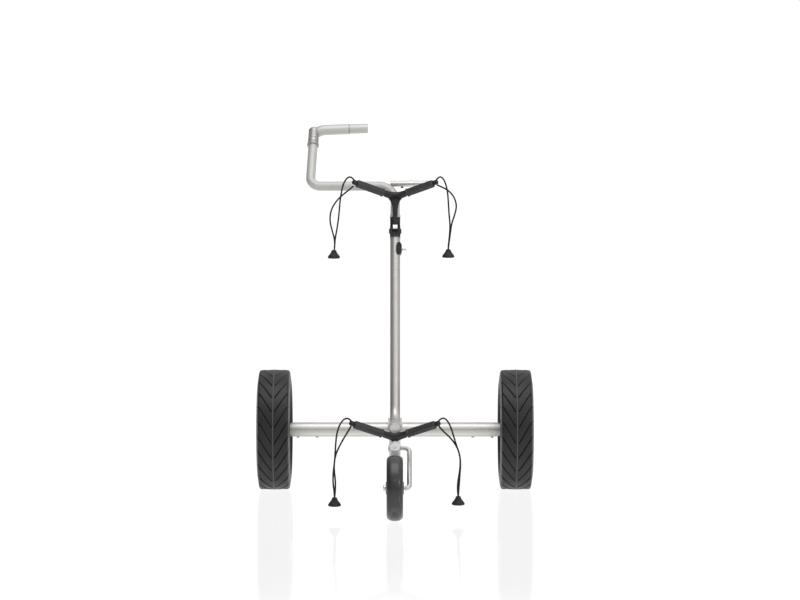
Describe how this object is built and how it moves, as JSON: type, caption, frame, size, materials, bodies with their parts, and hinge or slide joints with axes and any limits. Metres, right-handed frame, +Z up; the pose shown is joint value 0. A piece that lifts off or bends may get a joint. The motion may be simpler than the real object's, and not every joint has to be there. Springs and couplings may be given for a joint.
{
  "type": "golf push trolley",
  "caption": "Bare folding push trolley for a golf bag: wheeled frame with padded bag cradles, elastic loops and a swivelling hand grip.",
  "frame": {"origin": "on the ground, in the middle of the bounding box of the trolley without its elastic loops", "axes": "+Z up, +Y towards the person pushing, +X to the right seen from the front wheel"},
  "size_m": [0.6636, 0.8724, 0.8761],
  "materials": {
    "satin_titanium": "satin, fine brushed",
    "bright_steel": "polished",
    "dark_casting": "fine textured satin",
    "black_rubber": "matt, moulded texture",
    "tyre_rubber": "satin rubber with moulded tread",
    "rim_plastic": "satin silver grey",
    "black_plastic": "smooth",
    "elastic_cord": "braided"
  },
  "bodies": {
    "frame": {"main_tube": "satin_titanium", "axle_tube": "satin_titanium", "axle_saddle": "satin_titanium", "axle_bushes": "satin_titanium", "front_head": "satin_titanium", "left_stub_axle": "bright_steel", "right_stub_axle": "bright_steel", "axle_screws": "bright_steel", "hinge_pin": "bright_steel", "latch_spring": "bright_steel", "bracket_clip": "bright_steel", "hinge_yoke": "dark_casting", "latch_housing": "dark_casting", "upper_bracket": "dark_casting", "lower_bracket": "dark_casting", "yoke_screws": "dark_casting", "upper_left_pad": "black_rubber", "upper_right_pad": "black_rubber", "lower_left_pad": "black_rubber", "lower_right_pad": "black_rubber", "upper_left_cone": "black_rubber", "upper_right_cone": "black_rubber", "lower_left_cone": "black_rubber", "lower_right_cone": "black_rubber", "upper_cord_anchors": "black_plastic", "lower_cord_anchors": "black_plastic", "upper_left_cord": "elastic_cord", "upper_right_cord": "elastic_cord", "lower_left_cord": "elastic_cord", "lower_right_cord": "elastic_cord"},
    "left_wheel": {"left_tyre": "tyre_rubber", "left_rim": "rim_plastic", "left_bearings": "bright_steel", "left_hub_cap": "black_plastic"},
    "left_button": {"left_release_button": "black_plastic"},
    "right_wheel": {"right_tyre": "tyre_rubber", "right_rim": "rim_plastic", "right_bearings": "bright_steel", "right_hub_cap": "black_plastic"},
    "right_button": {"right_release_button": "black_plastic"},
    "front_fork": {"front_arm": "satin_titanium", "front_axle_nut": "bright_steel", "arm_retaining_ring": "bright_steel"},
    "front_wheel": {"front_tyre": "tyre_rubber", "front_rim": "rim_plastic", "front_bearings": "bright_steel"},
    "clamp_knob": {"head_knob": "bright_steel"},
    "folding_handle": {"hinge_knuckle": "dark_casting", "hinge_collar": "satin_titanium", "upper_tube": "satin_titanium", "accessory_tube": "satin_titanium", "accessory_collar": "bright_steel", "accessory_screw": "dark_casting"},
    "swivel_lock": {"lock_ring": "dark_casting"},
    "hand_grip": {"joint_sleeve": "satin_titanium", "grip_core": "satin_titanium", "grip_sleeve": "satin_titanium", "grip_ring": "satin_titanium", "grip_end_cap": "satin_titanium"},
    "latch_button": {"latch_plunger": "bright_steel"}
  },
  "joints": [
    {"name": "left_wheel_spin", "type": "hinge", "parent": "frame", "child": "left_wheel", "pos_m": [0, 0.09081, 0.1475], "axis": [1, 0, 0], "continuous": true},
    {"name": "right_wheel_spin", "type": "hinge", "parent": "frame", "child": "right_wheel", "pos_m": [0, 0.09081, 0.1475], "axis": [1, 0, 0], "continuous": true},
    {"name": "left_release_press", "type": "slide", "parent": "left_wheel", "child": "left_button", "axis": [1, 0, 0], "range_m": [0, 0.004], "stiffness_N_per_m": 200, "springref_m": -0.008},
    {"name": "right_release_press", "type": "slide", "parent": "right_wheel", "child": "right_button", "axis": [-1, 0, 0], "range_m": [0, 0.004], "stiffness_N_per_m": 200, "springref_m": -0.008},
    {"name": "front_arm_fold", "type": "hinge", "parent": "frame", "child": "front_fork", "pos_m": [0, -0.24719, 0.1535], "axis": [1, 0, 0], "range_deg": [0, 105]},
    {"name": "front_wheel_spin", "type": "hinge", "parent": "front_fork", "child": "front_wheel", "pos_m": [0, -0.35919, 0.077], "axis": [1, 0, 0], "continuous": true},
    {"name": "clamp_knob_turn", "type": "hinge", "parent": "frame", "child": "clamp_knob", "pos_m": [0, -0.26119, 0.1625], "axis": [0, -1, 0], "range_deg": [0, 360]},
    {"name": "handle_fold", "type": "hinge", "parent": "frame", "child": "folding_handle", "pos_m": [0, 0.28324, 0.61684], "axis": [-1, 0, 0], "range_deg": [0, 165]},
    {"name": "swivel_lock_turn", "type": "hinge", "parent": "folding_handle", "child": "swivel_lock", "pos_m": [-0.2061, 0.3987, 0.82955], "axis": [0.044, 0.6422, 0.7653], "range_deg": [0, 120]},
    {"name": "grip_swivel", "type": "hinge", "parent": "folding_handle", "child": "hand_grip", "pos_m": [-0.2061, 0.3987, 0.82955], "axis": [0.044, 0.6422, 0.7653], "range_deg": [-90, 90]},
    {"name": "latch_press", "type": "slide", "parent": "frame", "child": "latch_button", "axis": [-1, 0, 0], "range_m": [0, 0.006], "stiffness_N_per_m": 250, "springref_m": -0.01, "deforming": ["latch_spring"]}
  ]
}
